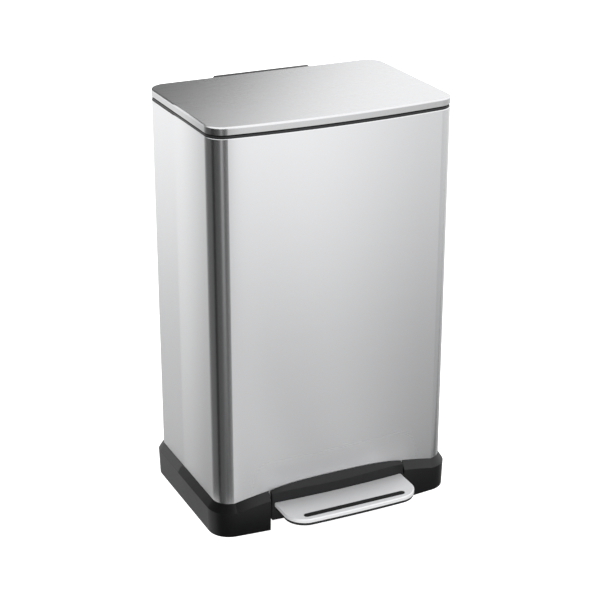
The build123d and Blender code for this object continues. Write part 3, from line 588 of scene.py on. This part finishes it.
@dataclass(frozen=True)
class PlatedSteel:
    """Zinc-plated or drawn metal of the hidden mechanism."""

    name: str
    tone: Colour = (0.52, 0.53, 0.55)
    roughness: float = 0.34
    cloud_scale: float = 160.0
    fine_scale: float = 2400.0
    warm_tint: Colour = (1.03, 1.0, 0.93)
    cool_tint: Colour = (0.92, 0.96, 1.0)
    roughness_drop: float = 0.06
    cloud_roughness: float = 0.1
    fine_roughness: float = 0.04
    grain_depth: float = 3e-6

    def build(self) -> bpy.types.Material:
        """Makes the material.

        Returns:
            The material.
        """
        material, graph = new_material(self.name)
        place = graph.place()
        cloud = graph.noise(place, self.cloud_scale, 4.0, 0.6)
        fine = graph.noise(place, self.fine_scale, 1.0)
        cool, warm = tinted(self.tone, self.cool_tint), tinted(self.tone, self.warm_tint)
        roughness = self.roughness - self.roughness_drop
        inputs = {
            "Base Color": graph.blend(cloud, cool, warm),
            "Metallic": 1.0,
            "Roughness": roughness + cloud * self.cloud_roughness + fine * self.fine_roughness,
            "Normal": graph.bump(fine + cloud * 0.5, self.grain_depth),
        }
        shader = graph.node("ShaderNodeBsdfPrincipled", {}, inputs)
        graph.close(shader)
        return material


@dataclass(frozen=True)
class Finishes:
    """Every finish of the bin, built once."""

    wrap: bpy.types.Material
    lid: bpy.types.Material
    tread: bpy.types.Material
    black: bpy.types.Material
    rim: bpy.types.Material
    pedal: bpy.types.Material
    bucket: bpy.types.Material
    rubber: bpy.types.Material
    plated: bpy.types.Material
    cylinder: bpy.types.Material
    nylon: bpy.types.Material

    @classmethod
    def build(cls) -> "Finishes":
        """Makes every material.

        Returns:
            The finishes.
        """
        return cls(
            wrap=SatinSteel("steel_wrap", 0.60, 0.24, Grain.ACROSS, foot_roughness=0.2).build(),
            # The lid's lower edge gets painted shade, a factor of 0.76 on its colour, for its dark
            # reflection.
            lid=SatinSteel("steel_lid", 0.58, 0.28, Grain.ALONG_WIDTH, skirt_shade_tone=0.76).build(),
            tread=SatinSteel("steel_tread", 0.61, 0.46, Grain.ALONG_WIDTH, metallic=0.5).build(),
            black=MouldedPlastic("black_moulding", (0.0022, 0.0023, 0.0025), 0.37, 0.33).build(),
            rim=MouldedPlastic("rim_moulding", (0.011, 0.011, 0.012), 0.44, 0.3).build(),
            pedal=MouldedPlastic("pedal_moulding", (0.004, 0.0042, 0.0045), 0.36, 0.28).build(),
            bucket=MouldedPlastic("bucket_moulding", (0.045, 0.046, 0.048), 0.48, 0.4, 0.0011).build(),
            rubber=DullRubber("black_rubber").build(),
            plated=PlatedSteel("plated_steel").build(),
            cylinder=PlatedSteel("drawn_cylinder", (0.45, 0.46, 0.48), 0.26, 60.0).build(),
            nylon=MouldedPlastic("natural_nylon", (0.62, 0.60, 0.54), 0.46, 0.45, 0.0009, 6e-6).build(),
        )


# ---------------------------------------------------------------- sub-assemblies
class SubAssembly:
    """A group of pieces that is built and dressed together."""

    def __init__(self, scene_frame: dict[str, Any], finishes: Finishes) -> None:
        """Keeps the frame and the finishes.

        Args:
            finishes: every finish.
        """
        self.nodes: dict[str, bpy.types.Object] = scene_frame["nodes"]
        self.finishes = finishes

    def coat(self, names: Iterable[str], finish: bpy.types.Material) -> None:
        """Gives CAD nodes a finish.

        Args:
            names: the nodes.
            finish: the material.
        """
        for name in names:
            node = self.nodes[name]
            if not node.material_slots:
                node.data.materials.append(finish)
            for slot in node.material_slots:
                slot.material = finish
            LOG.info("%s takes %s", name, finish.name)


class Body(SubAssembly):
    """Steel wrap, rim frame, bucket and rear housing."""

    def dress(self) -> None:
        """Gives the body's pieces their finishes."""
        self.coat(["body_shell"], self.finishes.wrap)
        self.coat(["top_rim_frame"], self.finishes.rim)
        self.coat(["rear_housing", "channel_cover"], self.finishes.black)
        self.coat(["inner_bucket"], self.finishes.bucket)


class Lid(SubAssembly):
    """Steel pan, liner, hinge cover and bracket."""

    def dress(self) -> None:
        """Gives the lid's pieces their finishes."""
        self.coat(["lid_cover"], self.finishes.lid)
        self.coat(["lid_liner", "hinge_cover"], self.finishes.rim)
        self.coat(["lid_bracket", "crank_pins", "lid_screws"], self.finishes.plated)
        self.coat(["lid_bumpers"], self.finishes.rubber)


class Plinth(SubAssembly):
    """Black plinth, its feet and its stops."""

    def dress(self) -> None:
        """Gives the plinth's pieces their finishes."""
        self.coat(["base_plinth"], self.finishes.black)
        self.coat(["rubber_feet", "stop_pads"], self.finishes.rubber)


class Pedal(SubAssembly):
    """Pedal shell, tread plate, rubber strip and lever."""

    def dress(self) -> None:
        """Gives the pedal's pieces their finishes."""
        self.coat(["pedal_shell"], self.finishes.pedal)
        self.coat(["pedal_plate"], self.finishes.tread)
        self.coat(["pedal_insert"], self.finishes.rubber)
        steel = ["pedal_lever", "tip_pin", "pivot_pin", "pivot_clips", "pedal_screws"]
        self.coat(steel, self.finishes.plated)
        self.coat(["lever_tip"], self.finishes.nylon)


class Mechanism(SubAssembly):
    """Hinge, push rod and damper at the back."""

    def dress(self) -> None:
        """Gives the mechanism's pieces their finishes."""
        hinge = ["hinge_mount", "hinge_pin", "mount_rivets", "housing_screws"]
        rods = ["push_rod", "rod_eye", "damper_rod", "damper_eye"]
        self.coat(hinge + rods, self.finishes.plated)
        self.coat(["rod_foot", "rod_guides", "damper_saddles"], self.finishes.nylon)
        self.coat(["damper_cylinder"], self.finishes.cylinder)


# ---------------------------------------------------------------- studio
BOARD_RINGS: Stops = (  # metres from the bin's middle, level
    (0.0, 0.60), (0.3, 0.72), (0.42, 0.79), (0.55, 0.83), (0.75, 0.88),
    (1.0, 0.98), (1.35, 1.15), (1.9, 1.34), (2.4, 1.47), (2.6, 1.50),
)
BOARD_SECTORS: Stops = (  # degrees from straight ahead, to the right; level
    (-180.0, 0.93), (-158.0, 0.93), (-153.0, 0.95), (-146.0, 0.95), (-90.0, 0.95), (-20.0, 1.10),
    (-5.0, 1.14), (5.0, 0.97), (12.0, 1.00), (20.0, 1.04), (28.0, 0.95), (36.0, 0.82),
    (44.0, 0.71), (52.0, 0.63), (80.0, 0.70), (180.0, 0.93),
)
BOARD_NEAR: Stops = (  # metres ahead of the bin's middle; 0 is the dark strip by the front
    (0.0, 1.0), (0.117, 1.0), (0.13, 0.0), (0.1768, 0.0), (0.2184, 1.0), (2.6, 1.0),
)
SCREEN_LEVELS: Stops = (  # degrees round the corner, from the left towards the front; level
    (-80.0, 1.38), (-75.0, 1.38), (-70.0, 1.36), (-64.0, 1.22), (-57.0, 1.02), (-51.0, 0.78),
    (-48.0, 1.0), (-44.0, 0.30), (-32.0, 0.20), (-15.0, 0.18), (5.0, 0.15), (10.0, 0.03),
    (18.0, 0.03), (26.0, 0.12), (44.0, 0.13), (54.0, 0.17), (60.0, 0.60), (66.0, 0.62),
    (72.0, 0.17), (82.0, 0.16), (89.0, 0.25), (93.0, 1.0), (101.0, 1.1), (120.0, 1.1),
)
SCREEN_BACK: Stops = (  # degrees, as above; 1 is the light part at the left
    (-80.0, 1.0), (-56.0, 1.0), (-44.0, 0.0), (120.0, 0.0),
)
SCREEN_STREAK: Stops = (  # degrees, as above; 1 is the light streak
    (-80.0, 0.0), (54.0, 0.0), (60.0, 1.0), (66.0, 1.0), (72.0, 0.0), (120.0, 0.0),
)
CARD_LEVELS: Stops = (  # metres along the card's slant; level
    (0.0, 0.17), (0.12, 0.38), (0.25, 0.84), (0.4, 1.24), (0.6, 1.38), (1.0, 1.33),
)


def clear_selection() -> None:
    """Deselects every object."""
    bpy.ops.object.select_all(action="DESELECT")


def only_mirrored(card: bpy.types.Object, material: bpy.types.Material) -> None:
    """Gives a card its material and leaves it to be seen in reflections alone.

    Args:
        card: the card.
        material: its material.
    """
    card.data.materials.append(material)
    card.visible_camera = False
    card.visible_diffuse = False
    card.visible_shadow = False
    card.visible_transmission = False
    card.visible_volume_scatter = False


@dataclass(frozen=True)
class Studio:
    """Camera, sky light and a pale floor that is clear from below."""

    lens: float = 98.99
    sensor: float = 36.0
    far_clip: float = 100.0
    place: tuple[float, float, float] = (-1.0442, -2.1752, 1.3329)
    azimuth: float = -25.34
    elevation: float = 22.57
    floor_size: float = 60.0
    floor_tone: float = 0.50
    floor_glow: float = 1.00
    sky: float = 1.65

    def set_camera(self) -> None:
        """Places the camera."""
        data = bpy.data.cameras.new("studio_camera")
        data.lens = self.lens
        data.sensor_width = self.sensor
        data.clip_end = self.far_clip
        camera = bpy.data.objects.new("studio_camera", data)
        bpy.context.scene.collection.objects.link(camera)
        turn, tilt = math.radians(self.azimuth), math.radians(self.elevation)
        level = math.cos(tilt)
        back = Vector((math.sin(turn) * level, -math.cos(turn) * level, math.sin(tilt)))
        camera.location = self.place
        camera.rotation_mode = "QUATERNION"
        camera.rotation_quaternion = (-back).to_track_quat("-Z", "Y")
        bpy.context.scene.camera = camera

    def set_world(self) -> None:
        """Lights the scene with a pale sky."""
        world = bpy.data.worlds.new("studio_sky")
        world.use_nodes = True
        graph = Graph(world.node_tree)
        light = graph.node("ShaderNodeBackground", {}, {"Color": WHITE, "Strength": self.sky})
        graph.close(light, "ShaderNodeOutputWorld")
        bpy.context.scene.world = world
        bpy.context.scene.view_settings.view_transform = "Standard"

    def lay_floor(self) -> None:
        """Lays the floor."""
        clear_selection()
        bpy.ops.mesh.primitive_plane_add(size=self.floor_size, location=(0.0, 0.0, 0.0))
        floor = bpy.context.object
        floor.name = "studio_floor"
        material, graph = new_material("pale_floor")
        tone = self.floor_tone
        matt = graph.node("ShaderNodeBsdfDiffuse", {}, {"Color": opaque((tone, tone, tone))})
        glow = graph.emission(WHITE, self.floor_glow)
        upper = graph.node("ShaderNodeAddShader", {}, {0: matt, 1: glow})
        clear = graph.node("ShaderNodeBsdfTransparent", {}, {})
        from_below = graph.node("ShaderNodeNewGeometry", {}, {}, "Backfacing")
        graph.close(graph.node("ShaderNodeMixShader", {}, {0: from_below, 1: upper, 2: clear}))
        floor.data.materials.append(material)
        floor.visible_glossy = False

    def build(self) -> None:
        """Sets up camera, light and floor."""
        self.set_camera()
        self.set_world()
        self.lay_floor()


@dataclass(frozen=True)
class GradedBoard:
    """Graded board just under the floor, which the upright steel mirrors."""

    size: float = 12.0
    depth: float = 0.001
    centre_y: float = 0.03
    ramp_gain: float = 0.5
    gloom: float = 0.6
    left_gloom: float = 0.3
    left_fade: float = 2.5

    def build(self) -> None:
        """Lays the board."""
        clear_selection()
        bpy.ops.mesh.primitive_plane_add(size=self.size, location=(0.0, 0.0, -self.depth))
        board = bpy.context.object
        board.name = "graded_board"
        material, graph = new_material("graded_board")
        across, back, _ = graph.axes(graph.place())
        along = back - self.centre_y
        reach = (across * across + along * along) ** 0.5
        ring = graph.ramp(reach, BOARD_RINGS, self.ramp_gain)
        sector = graph.ramp(graph.bearing(across, along * -1.0), BOARD_SECTORS, self.ramp_gain)
        level = graph.product(ring, sector)
        near = graph.ramp(along * -1.0, BOARD_NEAR)
        left_share = (across * -self.left_fade + 0.5).clamped()
        lit = 1.0 - (1.0 - near) * (left_share * self.left_gloom + self.gloom)
        graph.close(graph.emission(level, lit * (1.0 / self.ramp_gain**2)))
        only_mirrored(board, material)


@dataclass(frozen=True)
class DarkScreen:
    """Curved dark screen round the front corner on the left, which makes that corner's streaks."""

    corner: tuple[float, float] = (-0.172, -0.071)
    radius: float = 0.13
    height: float = 0.70
    facets: int = 180
    first: float = -75.0
    last: float = 101.0
    back_fade: tuple[float, float] = (0.24, 0.8)        # at mid height, and less for each metre up
    streak_fade: tuple[float, float] = (0.375, 1.5)

    def bend(self) -> bpy.types.Object:
        """Bends the screen, which is part of a tube's wall.

        Returns:
            The screen.
        """
        clear_selection()
        bpy.ops.mesh.primitive_cylinder_add(
            vertices=self.facets,
            radius=self.radius,
            depth=self.height,
            end_fill_type="NOTHING",
            location=(0.0, 0.0, 0.0),
        )
        screen = bpy.context.object
        screen.name = "dark_screen"
        bpy.ops.object.mode_set(mode="EDIT")
        bpy.ops.mesh.select_mode(type="FACE")
        bpy.ops.mesh.select_all(action="DESELECT")
        bpy.ops.object.mode_set(mode="OBJECT")
        for face in screen.data.polygons:
            angle = math.degrees(math.atan2(-face.center.y, -face.center.x))
            face.select = not self.first < angle < self.last
        bpy.ops.object.mode_set(mode="EDIT")
        bpy.ops.mesh.delete(type="FACE")
        bpy.ops.object.mode_set(mode="OBJECT")
        screen.location = (*self.corner, self.height / 2)
        return screen

    def build(self) -> None:
        """Stands the screen."""
        screen = self.bend()
        material, graph = new_material("dark_screen")
        across, along, up = graph.axes(graph.place())
        angle = graph.bearing(along * -1.0, across * -1.0)
        fades = ((SCREEN_BACK, self.back_fade), (SCREEN_STREAK, self.streak_fade))
        strength = 1.0
        for stops, (middle, slope) in fades:
            strength = strength - graph.ramp(angle, stops) * (middle - up * slope)
        graph.close(graph.emission(graph.ramp(angle, SCREEN_LEVELS), strength))
        only_mirrored(screen, material)


@dataclass(frozen=True)
class GradedCard:
    """Graded card behind the bin, which the lid's top mirrors."""

    centre: tuple[float, float, float] = (0.4, 0.72, 1.25)
    width: float = 2.4
    height: float = 1.2
    level_z: float = 0.9
    slant: float = 0.9

    def build(self) -> None:
        """Stands the card."""
        clear_selection()
        upright = (math.pi / 2, 0.0, 0.0)
        bpy.ops.mesh.primitive_plane_add(size=1.0, location=(0.0, 0.0, 0.0), rotation=upright)
        card = bpy.context.object
        card.name = "graded_card"
        card.scale = (self.width, self.height, 1.0)
        card.location = self.centre
        bpy.ops.object.transform_apply(location=True, rotation=True, scale=True)
        material, graph = new_material("graded_card")
        across, _, up = graph.axes(graph.place())
        level = graph.ramp(across + (up - self.level_z) * self.slant, CARD_LEVELS)
        graph.close(graph.emission(level, 1.0))
        only_mirrored(card, material)


def main() -> None:
    """Builds the studio and dresses the bin."""
    logging.basicConfig(level=logging.INFO)
    for prop in (Studio, GradedBoard, DarkScreen, GradedCard):
        prop().build()
        LOG.info("%s is set up", prop.__name__)
    finishes = Finishes.build()
    for part in (Body, Lid, Plinth, Pedal, Mechanism):
        part(frame, finishes).dress()
        LOG.info("%s is dressed", part.__name__)


if __name__ == "__main__":
    main()
